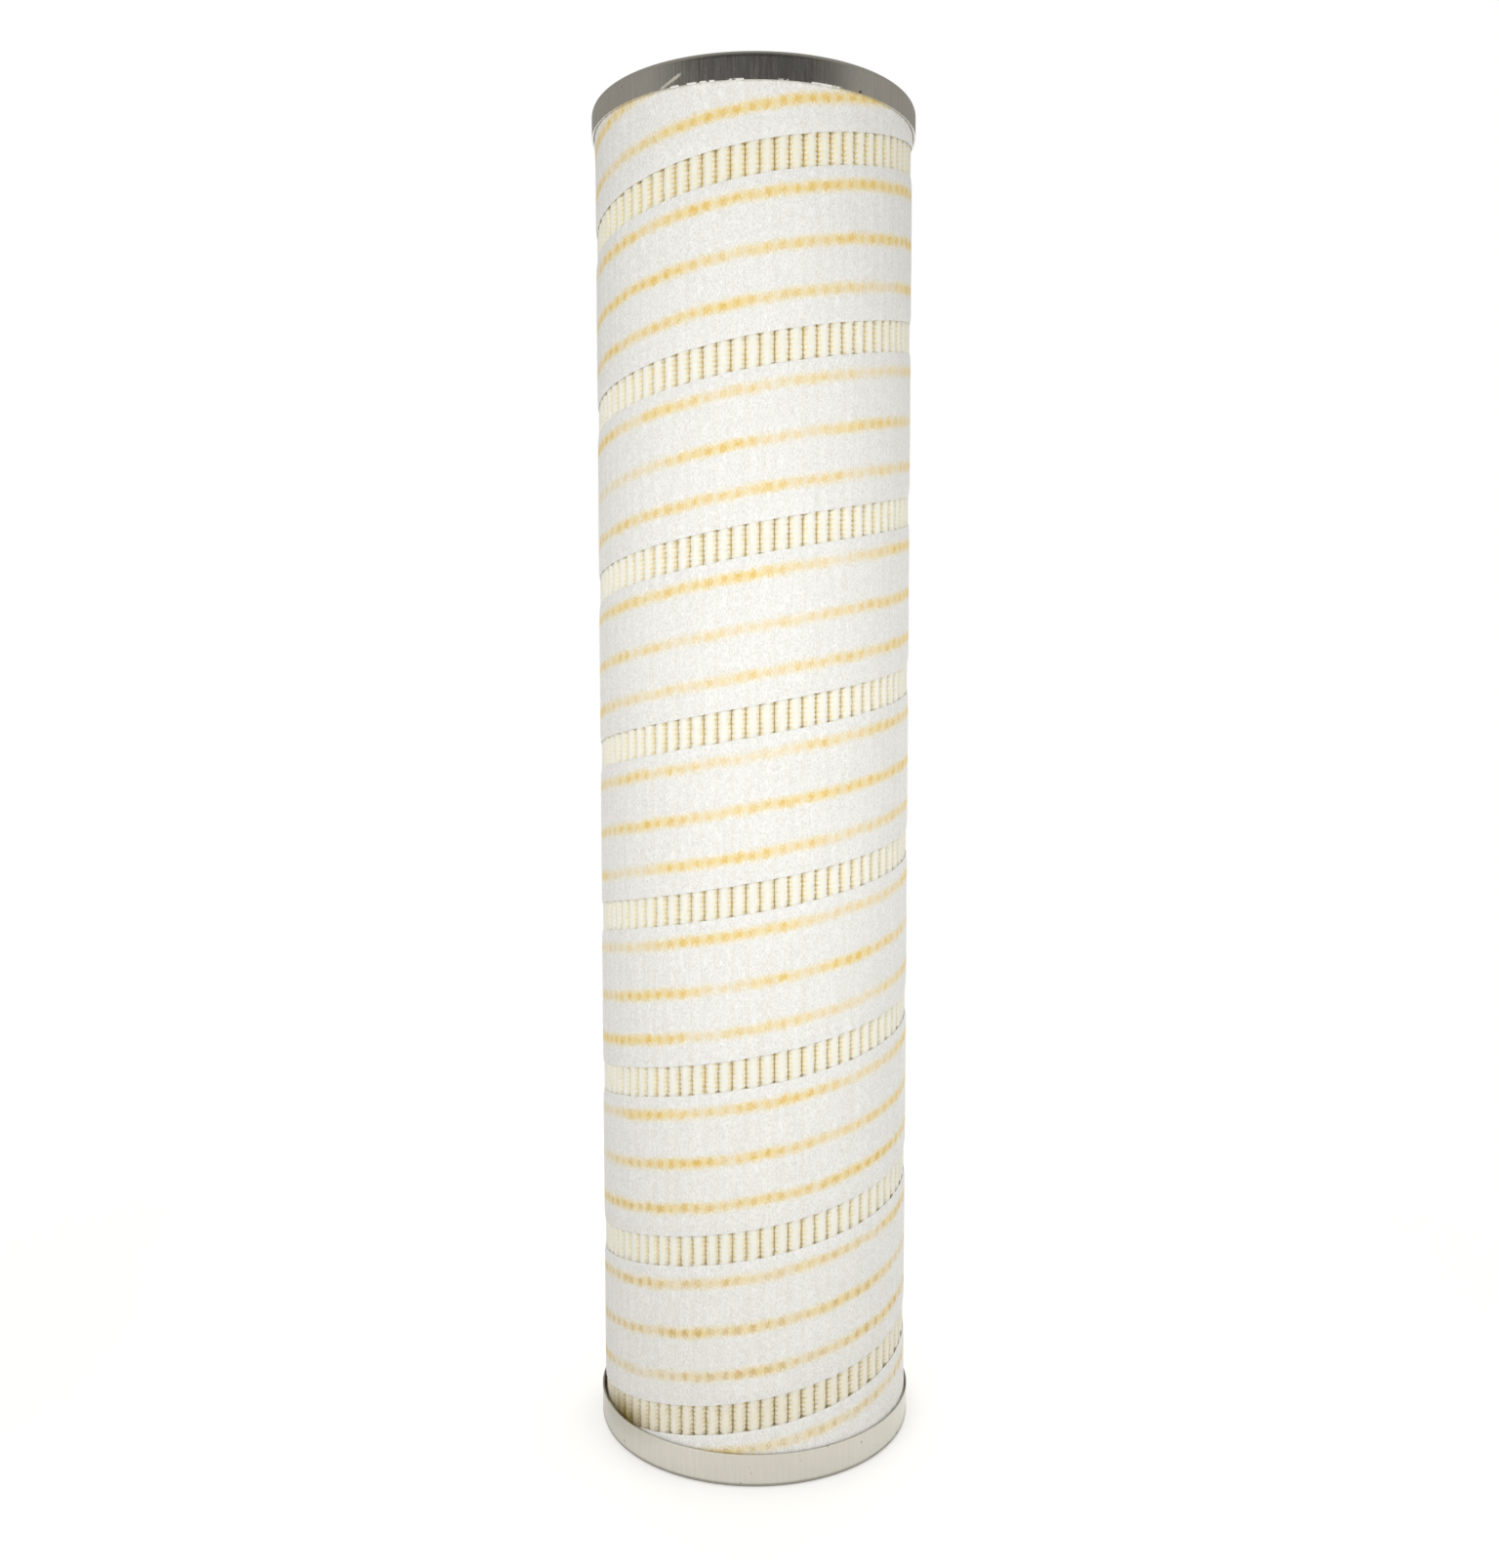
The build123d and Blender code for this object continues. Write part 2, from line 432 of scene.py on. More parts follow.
# %% Shape the strip's outer face
rib_depth = 0.07 * MM
press_depth = 0.04 * MM
cockle_depth = 0.025 * MM
sink = 0.03 * MM
least_cover = 0.06 * MM
edge_drop = 0.22 * MM
edge_reach = 0.6 * MM
swell_depth = 0.20 * MM
swell_reach = 3.5 * MM
lower_skirt_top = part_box("bottom_end_cap")[1].z
upper_skirt_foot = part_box("top_end_cap")[0].z


def swell(height):
    """How far the wrap stands out beside the skirts."""
    from_lower = np.exp(-(((height - lower_skirt_top) / swell_reach) ** 2))
    from_upper = np.exp(-(((height - upper_skirt_foot) / swell_reach) ** 2))
    return swell_depth * (from_lower + from_upper)


def strip_radius(angle, height, depth_down):
    """Radius of the strip's outer face: ribs over the pleats, and lines pressed in by the glue."""
    between = 0.5 - 0.5 * np.cos(TURN * pleat_phase(angle))
    ribs = rib_depth * between * (0.75 + 0.25 * slow_wave(height * 23 + angle, 5))
    pressed = sum(np.exp(-(((depth_down - d) / glue_width) ** 2)) for d in glue_depths)
    cockle = cockle_depth * slow_wave(height * 41 + np.sin(angle * 3), 6)
    from_edge = np.minimum(depth_down, strip_width - depth_down)
    laid_down = edge_drop * np.exp(-np.maximum(from_edge, 0) / edge_reach)
    radius = wrap_radius - sink + swell(height) - laid_down
    radius = radius - ribs - press_depth * pressed * (0.4 + 0.6 * between) + cockle
    return np.maximum(radius, crest_radius + least_cover + swell(height))


print("skirts between", round(lower_skirt_top, 4), "and", round(upper_skirt_foot, 4), "m")

# %% Place the strip's points
row_size = rows_across + 1
share = np.linspace(0, 1, row_size)
height_grid = lower_cut[:, None] + (upper_cut - lower_cut)[:, None] * share[None, :]
angle_grid = np.repeat(strip_angle[:, None], row_size, 1)
depth_grid = upper_true[:, None] - height_grid
outside = on_cylinder(strip_radius(angle_grid, height_grid, depth_grid), angle_grid, height_grid)

bond = 0.01 * MM
edge_tuck = 1.2 * MM
inner_radius = wrap_radius - fabric_thickness
edge_radius = crest_radius + bond
tuck = np.minimum(edge_tuck, (upper_cut - lower_cut) / 3)
inside_rows = [
    on_cylinder(radius + swell(height), strip_angle, height)
    for radius, height in (
        (edge_radius, lower_cut),
        (inner_radius, lower_cut + tuck),
        (inner_radius, upper_cut - tuck),
        (edge_radius, upper_cut),
    )
]
strip_points = np.concatenate([outside.reshape(-1, 3), *inside_rows])
print("strip:", len(strip_points), "points")

# %% Join the strip's points into faces
outside_count = outside.shape[0] * row_size
inside_starts = [outside_count + row * (column_count + 1) for row in range(len(inside_rows))]
strip_faces = []
for column in range(column_count):
    here, there = column * row_size, (column + 1) * row_size
    for row in range(rows_across):
        strip_faces.append((here + row, there + row, there + row + 1, here + row + 1))
    low, *_, high = (start + column for start in inside_starts)
    strip_faces.append((low, low + 1, there, here))
    strip_faces.append((here + rows_across, there + rows_across, high + 1, high))
    for first, second in zip(inside_starts, inside_starts[1:]):
        near, far = first + column, second + column
        strip_faces.append((far, far + 1, near + 1, near))
last = column_count * row_size
last_inside = [start + column_count for start in inside_starts]
strip_faces.append((*range(row_size), *reversed(inside_starts)))
strip_faces.append((*range(last + rows_across, last - 1, -1), *last_inside))
print("strip:", len(strip_faces), "faces")

# %% [markdown]
# Two effects are used more than once, so each is a node group with named sockets. The web of
# filaments comes from noise: a thin band round the middle value of a smooth noise is a long
# curling line, and a few such layers on each other look like swirled threads. The noise is drawn
# out upwards, because spun filaments mostly run up the element here. The glue line is a soft band
# at a given depth across the strip, with darker dabs where the crests press the glue through.

# %% Helpers for node groups
def new_group(name, inputs, outputs):
    """An empty shader node group: returns it with its input node and its output node."""
    group = bpy.data.node_groups.new(name, "ShaderNodeTree")
    for label, kind, value in inputs:
        socket = group.interface.new_socket(label, in_out="INPUT", socket_type=kind)
        if value is not None:
            socket.default_value = value
    for label, kind in outputs:
        group.interface.new_socket(label, in_out="OUTPUT", socket_type=kind)
    return group, group.nodes.new("NodeGroupInput"), group.nodes.new("NodeGroupOutput")


def place_group(tree, group, **inputs):
    """Put a group in a material, fill its inputs by name, and return its outputs."""
    return new_node(tree, "Group", inputs, node_tree=group).outputs


def noise(tree, vector, scale, detail=2.0, roughness=0.5, distortion=0.0, shift=None):
    """A noise texture's value, optionally moved so that two layers don't match."""
    if shift is not None:
        move = {0: vector, 1: (shift, shift * 0.7, shift * 1.3)}
        vector = new_node(tree, "VectorMath", move, operation="ADD").outputs[0]
    inputs = {"Vector": vector, "Scale": scale, "Detail": detail, "Roughness": roughness}
    inputs["Distortion"] = distortion
    return new_node(tree, "TexNoise", inputs).outputs["Fac"]


def stretched(tree, vector, rise):
    """The same places with heights squeezed to a share, so that a texture is drawn out upwards."""
    inputs = {"Vector": vector, "Scale": (1.0, 1.0, rise)}
    return new_node(tree, "Mapping", inputs).outputs[0]


def bumped(tree, height, strength, distance, over=None):
    """A surface normal tilted by a height, on top of another such normal if one is given."""
    inputs = {"Strength": strength, "Distance": distance, "Height": height}
    if over is not None:
        inputs["Normal"] = over
    return new_node(tree, "Bump", inputs).outputs[0]


def mesh_value(tree, name, output="Fac"):
    """A value that a mesh keeps at its points under a name."""
    return new_node(tree, "Attribute", attribute_name=name).outputs[output]

# %% Build the web of filaments
FLOAT, VECTOR = "NodeSocketFloat", "NodeSocketVector"
web, web_in, web_out = new_group(
    "filament_web",
    [("Vector", VECTOR, None), ("Scale", FLOAT, 1000.0), ("Thread", FLOAT, 0.03)],
    [("Threads", FLOAT), ("Mottle", FLOAT), ("Clumps", FLOAT), ("Streaks", FLOAT)],
)
drawn_out = stretched(web, web_in.outputs["Vector"], 0.5)
combed = stretched(web, web_in.outputs["Vector"], 0.06)
scale = web_in.outputs["Scale"]
threads = 0.0
for layer in range(3):
    layer_scale = times(web, scale, 0.35 + 0.17 * layer)
    smooth = noise(web, drawn_out, layer_scale, 1.0, 0.4, 0.8, shift=0.031 * layer)
    off_middle = math_node(web, "ABSOLUTE", math_node(web, "SUBTRACT", smooth, 0.5))
    line = map_range(web, off_middle, web_in.outputs["Thread"], 0.0)
    threads = math_node(web, "MAXIMUM", line, threads)
mottle = noise(web, drawn_out, times(web, scale, 1.5), 2.0, 0.6, 0.3, shift=0.2)
clumps = noise(web, drawn_out, times(web, scale, 0.2), 2.0, 0.5, 0.3, shift=0.7)
streaks = noise(web, combed, times(web, scale, 0.35), 3.0, 0.6)
fill(web, web_out, dict(Threads=threads, Mottle=mottle, Clumps=clumps, Streaks=streaks))
print("web of filaments:", len(web.nodes), "nodes")

# %% Build the glue line
glue, glue_in, glue_out = new_group(
    "glue_line",
    [
        ("Along", FLOAT, 0.0),
        ("Depth", FLOAT, 0.0),
        ("Middle", FLOAT, 4.0),
        ("Width", FLOAT, glue_width / MM),
        ("Grain", FLOAT, 0.5),
    ],
    [("Film", FLOAT), ("Dabs", FLOAT)],
)
given = glue_in.outputs
run = new_node(glue, "CombineXYZ", {"X": given["Along"], "Y": given["Middle"]}).outputs[0]
wander = math_node(glue, "SUBTRACT", noise(glue, run, 0.5, 2.0, 0.6), 0.5)
middle = math_node(glue, "ADD", given["Middle"], times(glue, wander, 1.2))
away = math_node(glue, "ABSOLUTE", math_node(glue, "SUBTRACT", given["Depth"], middle))
ragged = times(glue, math_node(glue, "SUBTRACT", given["Grain"], 0.5), 2.4)
away = math_node(glue, "ADD", away, ragged)
plenty = noise(glue, run, 0.12, 3.0, 0.6, shift=5.0)
plenty = map_range(glue, plenty, 0.34, 0.64, 0.35, 1.0)
half = times(glue, given["Width"], 0.5)
film = map_range(glue, away, times(glue, half, 1.5), times(glue, half, 0.1))
film = times(glue, film, plenty)
on_crest = math_node(glue, "COSINE", times(glue, given["Along"], TURN))
dab = noise(glue, run, 1.3, 2.0, 0.6, shift=9.0)
dab = times(glue, math_node(glue, "SUBTRACT", dab, 0.5), 5.0)
on_crest = map_range(glue, math_node(glue, "ADD", on_crest, dab), -0.9, 1.5, 0.15, 1.0)
core = map_range(glue, away, times(glue, half, 1.1), times(glue, half, 0.1))
dabs = times(glue, times(glue, core, on_crest), plenty)
fill(glue, glue_out, dict(Film=film, Dabs=dabs))
print("groups:", [g.name for g in bpy.data.node_groups])

# %% [markdown]
# The fabric itself is almost white. Its depth comes from the filaments, a fine mottle, the glue
# that has soaked through it, and a painted shade over the valleys between the crests. The strip
# carries its own coordinates as an attribute: how many pleats along it a point lies, and how many
# millimetres below its upper edge.

# %% Helper for a map of a mesh
def add_map(mesh, places):
    """Give a mesh the UV map to bake through: one place in the unit square per corner."""
    layer = mesh.uv_layers.new(name="OFBake")
    layer.uv.foreach_set("vector", np.asarray(places, np.float32).ravel())

# %% Finish the wrap
fabric_tones = (colour(227, 225, 218), colour(255, 255, 252))
filament_tone = colour(255, 255, 253)
streak_tone = colour(228, 226, 219)
clump_tone = colour(232, 230, 222)
valley_shade_tone = colour(228, 223, 206)
film_tone = colour(250, 228, 158)
amber_dab = colour(236, 196, 88)
brown_dab = colour(204, 164, 84)

fabric, tree, shader = new_material("spun_fabric")
place = object_place(tree)
fibre = place_group(tree, web, Vector=place, Scale=2300.0, Thread=0.04)
on_strip = split_axes(tree, mesh_value(tree, "strip_place", "Vector"))
between = math_node(tree, "COSINE", times(tree, on_strip["X"], TURN))
over_valley = map_range(tree, between, 0.6, -1.0)

body = mix_colour(tree, map_range(tree, fibre["Mottle"], 0.3, 0.7), *fabric_tones)
streak_level = map_range(tree, fibre["Streaks"], 0.42, 0.62, 0.0, 0.3)
body = mix_colour(tree, streak_level, body, streak_tone)
clump_level = map_range(tree, fibre["Clumps"], 0.35, 0.65, 0.0, 0.09)
body = mix_colour(tree, clump_level, body, clump_tone)
body = mix_colour(tree, times(tree, fibre["Threads"], 0.75), body, filament_tone)
# Over the valleys the fabric is painted a little darker and yellower: painted shade of the grooves
body = mix_colour(tree, times(tree, over_valley, 0.10), body, valley_shade_tone)
film, dabs = 0.0, 0.0
for depth in glue_depths:
    line = place_group(
        tree, glue, Along=on_strip["X"], Depth=on_strip["Y"],
        Middle=depth / MM, Grain=fibre["Mottle"],
    )
    film = math_node(tree, "MAXIMUM", line["Film"], film)
    dabs = math_node(tree, "MAXIMUM", line["Dabs"], dabs)
speckle = map_range(tree, fibre["Mottle"], 0.62, 0.38, 0.7, 1.0)
film = times(tree, film, speckle)
dabs = times(tree, dabs, times(tree, speckle, 0.95))
body = mix_colour(tree, film, body, film_tone)
low_down = map_range(tree, split_axes(tree, place)["Z"], 100 * MM, 20 * MM)
body = mix_colour(tree, dabs, body, mix_colour(tree, low_down, amber_dab, brown_dab))
rough = map_range(tree, fibre["Threads"], 0.0, 1.0, 0.62, 0.42)
fuzz = math_node(tree, "ADD", fibre["Threads"], fibre["Mottle"])
fuzzy = bumped(tree, fuzz, 0.45, 0.12 * MM)
fill(tree, shader, {"Base Color": body, "Roughness": rough, "Normal": fuzzy})
fill(tree, shader, {"Specular IOR Level": 0.5})
print("spun fabric:", len(tree.nodes), "nodes")

# %% Make the strip and mark the places along it
wrap = mesh_piece("wrap_strip", strip_points, strip_faces, fabric)
strip_place = np.zeros((len(strip_points), 3), np.float32)
pleats_along = strip_angle / pleat_angle
strip_place[:outside_count, 0] = np.repeat(pleats_along, row_size)
strip_place[:outside_count, 1] = depth_grid.reshape(-1) / MM
inside_depth = np.tile(upper_true, len(inside_rows)) - strip_points[outside_count:, 2]
strip_place[outside_count:, 0] = np.tile(pleats_along, len(inside_rows))
strip_place[outside_count:, 1] = inside_depth / MM
wrap.data.set_sharp_from_angle(angle=math.radians(45))
layer = wrap.data.attributes.new("strip_place", "FLOAT_VECTOR", "POINT")
layer.data.foreach_set("vector", strip_place.ravel())
print("strip:", round(float(pleats_along[-1] - pleats_along[0])), "pleats long")

# %% Map the strip
# The map lays the strip out flat, one turn above another, and its inside in a narrow band between
per_turn = pleat_count * columns_per_pleat
band = 1 / math.ceil(column_count / per_turn)
outside_levels = np.linspace(0.03, 0.80, row_size)
inside_levels = (0.86, 0.88, 0.94, 0.96)
edge_levels = (0.005, 0.825)
strip_map = []
for number, face in enumerate(strip_faces):
    column, kind = divmod(number, rows_across + 5)
    if column >= column_count:
        column, kind = (0, -1) if number == len(strip_faces) - 2 else (column_count - 1, -1)
    turn = column // per_turn
    for corner in face:
        if corner < outside_count:
            across, level = corner // row_size, outside_levels[corner % row_size]
        else:
            row, across = divmod(corner - outside_count, column_count + 1)
            level = inside_levels[row]
            if kind in (rows_across, rows_across + 1):
                level = edge_levels[kind - rows_across]
        u = (across - turn * per_turn) / per_turn
        if kind == -1 and corner >= outside_count:
            u += -0.001 if column == 0 else 0.001
        strip_map.append((0.002 + 0.996 * u, (turn + level) * band))
add_map(wrap.data, strip_map)
print("map:", math.ceil(column_count / per_turn), "bands")

# %% Hang the strip on the pleats
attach(wrap, "root")
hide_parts("outer_wrap")

# %% [markdown]
# ## The glue beads
#
# Three beads of hot-melt glue hold the strip to the crests. They are thin and flat, they swell a
# little on each crest, and they lie between the crests and the fabric.

# %% Lay the glue beads
def clouded(name, texture, dark, light, gloss, tone_range=(0.3, 0.7)):
    """A finish that drifts in soft clouds between two tones and between two roughnesses."""
    material, tree, shader = new_material(name)
    cloud = noise(tree, object_place(tree), *texture)
    tone = mix_colour(tree, map_range(tree, cloud, *tone_range), dark, light)
    rough = map_range(tree, cloud, 0.3, 0.7, *gloss)
    fill(tree, shader, {"Base Color": tone, "Roughness": rough})
    return material


amber = clouded(
    "hot_melt_glue", (400.0, 3.0), colour(214, 164, 66), colour(240, 204, 120), (0.25, 0.45)
)
bead_steps_per_pleat = 3


def bead_piece(name, depth):
    """One bead: a flat ribbon of six-sided section along the winding, cut off at the ends."""
    step_count = round((last_turn - first_turn) * pleat_count * bead_steps_per_pleat)
    steps = np.arange(step_count + 1)
    turn = first_turn + steps * (last_turn - first_turn) / steps[-1]
    angle = turn * TURN
    height = strip_edges(turn)[1] - depth
    keep = (height > wrap_bottom + glue_width) & (height < wrap_top - glue_width)
    angle, height, turn = angle[keep], height[keep], turn[keep]
    plump = 0.75 + 0.25 * np.cos(TURN * pleat_phase(angle))
    half = glue_width / 2 * plump * (0.85 + 0.15 * slow_wave(turn * 17 + depth * 900, 8))
    inner, outer = crest_radius + bond, wrap_radius - fabric_thickness - bond
    middle = (inner + outer) / 2
    section = [(inner, -0.7), (middle, -1), (outer, -0.7), (outer, 0.7), (middle, 1), (inner, 0.7)]
    rings = [on_cylinder(radius, angle, height + side * half) for radius, side in section]
    points = np.stack(rings, 1).reshape(-1, 3)
    count = len(section)
    end = (len(angle) - 1) * count
    faces = []
    for ring in range(0, end, count):
        for side in range(count):
            near, far = ring + side, ring + (side + 1) % count
            faces.append((near + count, far + count, far, near))
    faces.append(tuple(range(count)))
    faces.append(tuple(reversed(range(end, end + count))))
    bead = mesh_piece(name, points, faces, amber)
    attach(bead, "root")
    return bead


for name, depth in zip(("upper", "middle", "lower"), glue_depths):
    bead = bead_piece(name + "_glue_bead", depth)
    print(bead.name, len(bead.data.polygons), "faces")

# %% [markdown]
# ## The pleats
#
# Only the crests show, in the gap of the winding. Each pleat's section is a row of points from
# one valley over the crest to the next. The points run up the element in horizontal rows, and the
# rows are close together where the gap crosses the pleat and far apart under the wrap. The fold
# is round, and below it the flanks of two neighbours bulge a little way into each other, so the
# groove between two crests is shallow and closed. The plastic mesh folded in with the media shows
# as a row of beads, so every second row is pushed out. A displacement texture could do that too,
# but beads made of points are there in the exported mesh.

# %% Lay out the pleats' rows
valley_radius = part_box("core_tube")[1].x + 0.1 * MM
media_thickness = 0.85 * MM
crest_share = 0.70
crest_half = crest_share * crest_radius * pleat_angle / 2
valley_half = 0.15 * MM

row_spacing = 0.53 * MM
rows_per_turn = 15
row_offsets = (np.arange(rows_per_turn) - (rows_per_turn - 1) / 2) * row_spacing
lowest_turn = math.floor((wrap_bottom - first_gap_height) / winding_pitch) - 1
highest_turn = math.ceil((wrap_top - first_gap_height) / winding_pitch) + 1
pack_bottom, pack_top = pack_low.z, pack_high.z
same_place = 1e-7


def pleat_rows(pleat):
    """Heights of one pleat's rows, from the pack's bottom to its top; end rows may coincide."""
    turn = np.arange(lowest_turn, highest_turn)[:, None] + pleat / pleat_count
    heights = (gap_height(turn) + row_offsets[None, :]).ravel()
    return np.clip(heights, pack_bottom, pack_top)


# Points over one pleat: depth below the crest, place across it, and whether the mesh beads it
floor_radius = valley_radius + media_thickness
half_section = [(1.55, 1.47, 0.1), (0.90, 1.24, 0.5), (0.45, 0.98, 1.0), (0.16, 0.66, 0.4)]
crest_section = [(depth * MM, -across, beaded) for depth, across, beaded in half_section]
crest_section += [(0.0, 0.0, 0.2)]
crest_section += [(depth * MM, across, beaded) for depth, across, beaded in reversed(half_section)]
print("a pleat:", len(crest_section), "points across,", rows_per_turn, "rows a turn")

# %% Build the pleated pack
row_total = (highest_turn - lowest_turn) * rows_per_turn
bead_draw = np.random.default_rng(21)
least_bead, most_bead = 0.08 * MM, 0.30 * MM
edge_waver = 0.10 * MM
bead_height = 0.03 * MM
lean_depth = 2.0 * MM
points, depths, bead_glint_marks = [], [], []
columns_of = []


def add_column(angle_at, radius_at, heights, depth, beads=None):
    """Add one upright column of points, and return the number of its first point."""
    first = len(points)
    for height, radius, angle in zip(heights, radius_at, angle_at):
        points.append((radius * math.cos(angle), radius * math.sin(angle), height))
        depths.append(depth)
    bead_glint_marks.extend([0.0] * len(heights) if beads is None else beads)
    return first


for pleat in range(pleat_count):
    heights = pleat_rows(pleat)
    within = (heights > pack_bottom) & (heights < pack_top)
    beading = np.where((np.arange(row_total) + pleat) % 2 == 0, 1.0, -1.0) * within
    root = pleat * pleat_angle
    edge_beads = [
        beading * bead_draw.uniform(least_bead, most_bead, row_total)
        + edge_waver * slow_wave(heights * 230 + pleat * 0.37 + side, 40 + side) * within
        for side in (0, 1)
    ]
    columns = []
    left_valley = root - pleat_angle / 2 + valley_half / floor_radius
    right_valley = root + pleat_angle / 2 - valley_half / floor_radius
    flat = np.ones(row_total)
    floor_depth = crest_radius - floor_radius
    columns.append(add_column(flat * left_valley, flat * floor_radius, heights, floor_depth))
    for depth, across, beaded in crest_section:
        side = 0 if across < 0 else 1
        lean_share = 1 - depth / lean_depth
        middle = root + (crest_angles[pleat] - root) * lean_share
        offset = across * crest_half + np.sign(across) * beaded * edge_beads[side]
        out = crest_radius - depth + bead_height * beading * beaded
        # Marks for the white mesh beads, which also get a painted highlight
        marks = np.maximum(beading, 0) * max(0.0, 2 * beaded - 1)
        columns.append(add_column(middle + offset / out, out, heights, depth, marks))
    columns.append(add_column(flat * right_valley, flat * floor_radius, heights, floor_depth))
    columns_of.append(columns)
print("pleats:", len(points), "points")

# %% Join the columns into faces
faces, face_map = [], []
turn_total = highest_turn - lowest_turn
cells_across = math.ceil(math.sqrt(pleat_count * turn_total))
cell = 1 / cells_across
shown_share = 0.96
margin = 0.02
across_levels = [margin, 0.08, 0.22, 0.36, 0.48, 0.55, 0.62, 0.74, 0.84, 0.90, 0.95, 0.99]


def cell_corner(pleat, turn):
    """The lower left corner of the cell that holds one pleat's part in one turn of the gap."""
    row, column = divmod(pleat * turn_total + turn, cells_across)
    return column * cell, row * cell * shown_share


def join_columns(pleat, step, first, second, shift=0):
    """Faces between two columns of rows; rows that coincide at the pack's ends give none."""
    for row in range(row_total - 1 - shift):
        a, b = first + row, first + row + 1
        c, d = second + row + 1 + shift, second + row + shift
        if points[b][2] - points[a][2] < same_place and points[c][2] - points[d][2] < same_place:
            continue
        faces.append((a, d, c, b))
        turn, level = divmod(row, rows_per_turn)
        left, low = cell_corner(pleat, turn)
        near, far = (left + share * cell for share in across_levels[step : step + 2])
        bottom, top = (
            low + (margin + edge / rows_per_turn * (1 - 2 * margin)) * cell * shown_share
            for edge in (level, level + 1)
        )
        face_map.append([(near, bottom), (far, bottom), (far, top), (near, top)])


for pleat in range(pleat_count):
    columns = columns_of[pleat]
    for step, (first, second) in enumerate(zip(columns, columns[1:])):
        join_columns(pleat, step, first, second)
    last_step = len(columns) - 1
    if pleat < pleat_count - 1:
        join_columns(pleat, last_step, columns[-1], columns_of[pleat + 1][0])
    else:
        join_columns(pleat, last_step, columns[-1], columns_of[0][0], shift=rows_per_turn)
print("pleats:", len(faces), "faces before the inside is added")

# %% Close the pack on its inside and at its ends
inner_crest_half = crest_half - media_thickness
inner_crest_radius = crest_radius - media_thickness
outside_valley = valley_half + media_thickness
valley_offset = pleat_angle / 2 - outside_valley / valley_radius
ends = [pack_bottom, pack_top]
inside = []
for pleat in range(pleat_count):
    root, middle = pleat * pleat_angle, crest_angles[pleat]
    ring = []
    for angle, radius in (
        (root - valley_offset, valley_radius),
        (middle - inner_crest_half / inner_crest_radius, inner_crest_radius),
        (middle + inner_crest_half / inner_crest_radius, inner_crest_radius),
        (root + valley_offset, valley_radius),
    ):
        ring.append(add_column([angle] * 2, [radius] * 2, ends, crest_radius - radius))
    inside.append(ring)

for pleat in range(pleat_count):
    here, there = inside[pleat], inside[(pleat + 1) % pleat_count]
    for first, second in zip(here, [*here[1:], there[0]]):
        faces.append((first, first + 1, second + 1, second))
    columns = columns_of[pleat]
    half_way = len(columns) // 2
    under = [here[0]] + [here[1]] * half_way + [here[2]] * (half_way - 1) + [here[3]]
    for end_row, up in ((0, 0), (row_total - 1, 1)):
        for index in range(len(columns) - 1):
            first, second = columns[index] + end_row, columns[index + 1] + end_row
            corners = [first, second, under[index + 1] + up, under[index] + up]
            faces.append(tuple(dict.fromkeys(corners)))
        next_columns = columns_of[(pleat + 1) % pleat_count]
        from_here, to_next = columns[-1] + end_row, next_columns[0] + end_row
        faces.append((from_here, to_next, there[0] + up, here[3] + up))

# What doesn't show, the inside and the ends, shares the top of the map, one narrow box to a face
hidden_low, hidden_high = 0.965, 0.995
hidden = faces[len(face_map) :]
box = 1 / len(hidden)
for number, face in enumerate(hidden):
    near, far = (number + 0.1) * box, (number + 0.9) * box
    square = [(near, hidden_low), (far, hidden_low), (far, hidden_high), (near, hidden_high)]
    face_map.append(square[: len(face)])
print("pleats:", len(faces), "faces in all")

# %% [markdown]
# The media is cream at the crests and yellower and darker the deeper it lies. Part of that is its
# own colour, as less of the white mesh shows, and part is painted shade and painted light thrown
# back tinted from the folds. Near the upper cap it is painted yellower and near the lower cap
# greyer, both a painted shade that is strongest in the grooves. Light also passes into the media
# and out again close by, so the grooves stay soft. A little resin has crept up the pleats at one
# place above the lower cap, and left them olive. The beads of the white mesh are near-white, their
# own white with a painted highlight on it. How deep a point lies, in millimetres, and where the
# white beads are, is kept as attributes of the mesh.

# %% Finish the pleats
crest_tones = (colour(253, 245, 229), colour(255, 252, 244))
flank_tones = (colour(247, 231, 190), colour(252, 239, 206))
groove_shade_tone = colour(234, 212, 150)
deep_shade_tone = colour(212, 194, 128)
upper_shade_tone = colour(236, 214, 142)
lower_shade_tone = colour(206, 194, 146)
mesh_and_glint_tone = colour(255, 254, 250)
thread_tone = colour(255, 253, 246)
stain_tone = colour(152, 134, 70)

media, tree, shader = new_material("pleated_media")
place = object_place(tree)
weave = place_group(tree, web, Vector=place, Scale=1300.0, Thread=0.05)
ragged = times(tree, math_node(tree, "SUBTRACT", weave["Mottle"], 0.5), 0.3)
depth = math_node(tree, "ADD", mesh_value(tree, "fold_depth"), ragged)
crest_tone = mix_colour(tree, weave["Mottle"], *crest_tones)
flank_tone = mix_colour(tree, weave["Mottle"], *flank_tones)
# Deeper in the fold the tone turns tan: partly the media's own colour, partly painted shade and
# painted reflected light
tone = mix_colour(tree, map_range(tree, depth, -0.05, 0.5), crest_tone, flank_tone)
tone = mix_colour(tree, map_range(tree, depth, 0.6, 1.6), tone, groove_shade_tone)
tone = mix_colour(tree, map_range(tree, depth, 1.3, 4.0), tone, deep_shade_tone)
level = split_axes(tree, place)["Z"]
# Painted shade near the caps: yellower under the upper cap, greyer above the lower one
below_cap = map_range(tree, level, element_height - 80 * MM, element_height - 20 * MM)
upper_shade = times(tree, below_cap, map_range(tree, depth, -0.5, 1.5, 0.0, 0.7))
tone = mix_colour(tree, upper_shade, tone, upper_shade_tone)
above_cap = map_range(tree, level, 60 * MM, 10 * MM)
lower_shade = times(tree, above_cap, map_range(tree, depth, -0.5, 1.5, 0.1, 0.7))
tone = mix_colour(tree, lower_shade, tone, lower_shade_tone)
